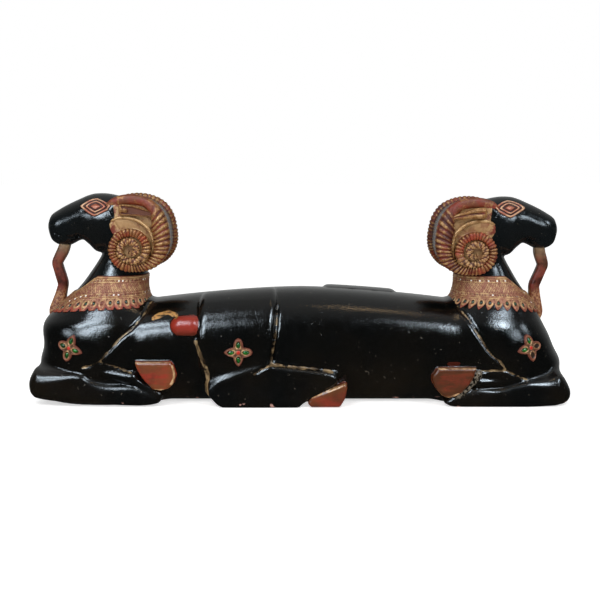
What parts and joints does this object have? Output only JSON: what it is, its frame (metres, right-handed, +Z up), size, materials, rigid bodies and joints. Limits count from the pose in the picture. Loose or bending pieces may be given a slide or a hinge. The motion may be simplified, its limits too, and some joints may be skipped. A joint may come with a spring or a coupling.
{
  "type": "two-headed ram carving",
  "caption": "Long low wooden carving of two rams lying side by side, head to rump, that share one body, with curled horns, jewelled collars and inlaid glass flowers.",
  "frame": {"origin": "on the ground under the middle of the body", "axes": "+X along the body towards the head of the near ram, +Z up"},
  "size_m": [0.9776, 0.2388, 0.374],
  "materials": {
    "lacquered_wood": "glossy black lacquer with worn gilding and red paint on horns, collars, hooves and tails",
    "green_glass": "polished, backed with foil"
  },
  "bodies": {
    "root": {"ram_carving": "lacquered_wood", "glass_chip_right_shoulder_near_2": "green_glass", "glass_chip_right_shoulder_near_3": "green_glass", "glass_chip_right_shoulder_far_1": "green_glass", "glass_chip_right_shoulder_far_2": "green_glass", "glass_chip_right_shoulder_far_3": "green_glass", "glass_chip_right_shoulder_far_4": "green_glass", "glass_chip_right_haunch_1": "green_glass", "glass_chip_right_haunch_2": "green_glass", "glass_chip_right_haunch_3": "green_glass", "glass_chip_right_haunch_4": "green_glass", "glass_chip_left_shoulder_far_1": "green_glass", "glass_chip_left_shoulder_far_2": "green_glass", "glass_chip_left_shoulder_far_3": "green_glass", "glass_chip_left_shoulder_far_4": "green_glass", "glass_chip_left_shoulder_near_1": "green_glass", "glass_chip_left_shoulder_near_2": "green_glass", "glass_chip_left_shoulder_near_3": "green_glass", "glass_chip_left_shoulder_near_4": "green_glass", "glass_chip_left_haunch_1": "green_glass", "glass_chip_left_haunch_2": "green_glass", "glass_chip_left_haunch_3": "green_glass", "glass_chip_left_haunch_4": "green_glass"}
  },
  "joints": []
}
